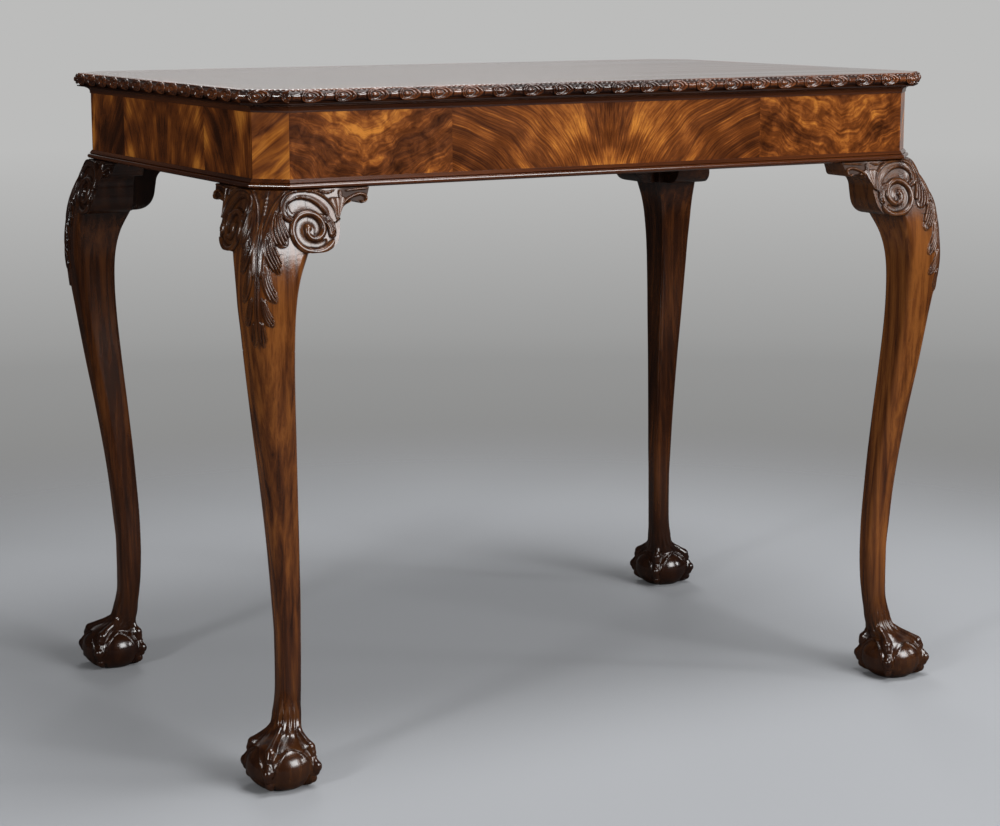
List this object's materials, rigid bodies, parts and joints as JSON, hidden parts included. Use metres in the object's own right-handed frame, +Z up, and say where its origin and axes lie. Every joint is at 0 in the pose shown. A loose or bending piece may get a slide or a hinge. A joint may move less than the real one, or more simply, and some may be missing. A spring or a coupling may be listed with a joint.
{
  "type": "occasional table",
  "caption": "Rectangular occasional table with cut corners, carved edge, veneered frieze and carved cabriole legs on ball-and-claw feet.",
  "frame": {"origin": "on the floor under the middle of the top", "axes": "+X along the long side, +Y from the front to the back, +Z up"},
  "size_m": [0.9292, 0.6142, 0.76],
  "materials": {
    "flame_veneer": "french polished",
    "moulding_wood": "polished",
    "top_wood": "french polished",
    "carved_wood": "polished",
    "inside_wood": "unfinished",
    "brass_screw": "dull"
  },
  "bodies": {
    "root": {"bead_moulding_back": "moulding_wood", "bead_moulding_corner_back_left": "moulding_wood", "bead_moulding_corner_back_right": "moulding_wood", "bead_moulding_corner_front_left": "moulding_wood", "bead_moulding_corner_front_right": "moulding_wood", "bead_moulding_front": "moulding_wood", "bead_moulding_left": "moulding_wood", "bead_moulding_right": "moulding_wood", "corner_block_back_left": "inside_wood", "corner_block_back_right": "inside_wood", "corner_block_front_left": "inside_wood", "corner_block_front_right": "inside_wood", "corner_block_screws": "brass_screw", "corner_veneer_back_left": "flame_veneer", "corner_veneer_back_right": "flame_veneer", "corner_veneer_front_left": "flame_veneer", "corner_veneer_front_right": "flame_veneer", "cove_moulding_back": "moulding_wood", "cove_moulding_corner_back_left": "moulding_wood", "cove_moulding_corner_back_right": "moulding_wood", "cove_moulding_corner_front_left": "moulding_wood", "cove_moulding_corner_front_right": "moulding_wood", "cove_moulding_front": "moulding_wood", "cove_moulding_left": "moulding_wood", "cove_moulding_right": "moulding_wood", "cross_bearer": "inside_wood", "ear_bracket_back_left_back": "carved_wood", "ear_bracket_back_left_left": "carved_wood", "ear_bracket_back_right_back": "carved_wood", "ear_bracket_back_right_right": "carved_wood", "ear_bracket_front_left_front": "carved_wood", "ear_bracket_front_left_left": "carved_wood", "ear_bracket_front_right_front": "carved_wood", "ear_bracket_front_right_right": "carved_wood", "ear_bracket_screws": "brass_screw", "edge_moulding_back": "moulding_wood", "edge_moulding_corner_back_left": "moulding_wood", "edge_moulding_corner_back_right": "moulding_wood", "edge_moulding_corner_front_left": "moulding_wood", "edge_moulding_corner_front_right": "moulding_wood", "edge_moulding_front": "moulding_wood", "edge_moulding_left": "moulding_wood", "edge_moulding_right": "moulding_wood", "frieze_veneer_back": "flame_veneer", "frieze_veneer_front": "flame_veneer", "frieze_veneer_left": "flame_veneer", "frieze_veneer_right": "flame_veneer", "glue_blocks": "inside_wood", "leg_back_left": "carved_wood", "leg_back_right": "carved_wood", "leg_front_left": "carved_wood", "leg_front_right": "carved_wood", "rail_back": "inside_wood", "rail_front": "inside_wood", "rail_left": "inside_wood", "rail_right": "inside_wood", "top_board_back": "top_wood", "top_board_front": "top_wood", "top_screws": "brass_screw"}
  },
  "joints": []
}
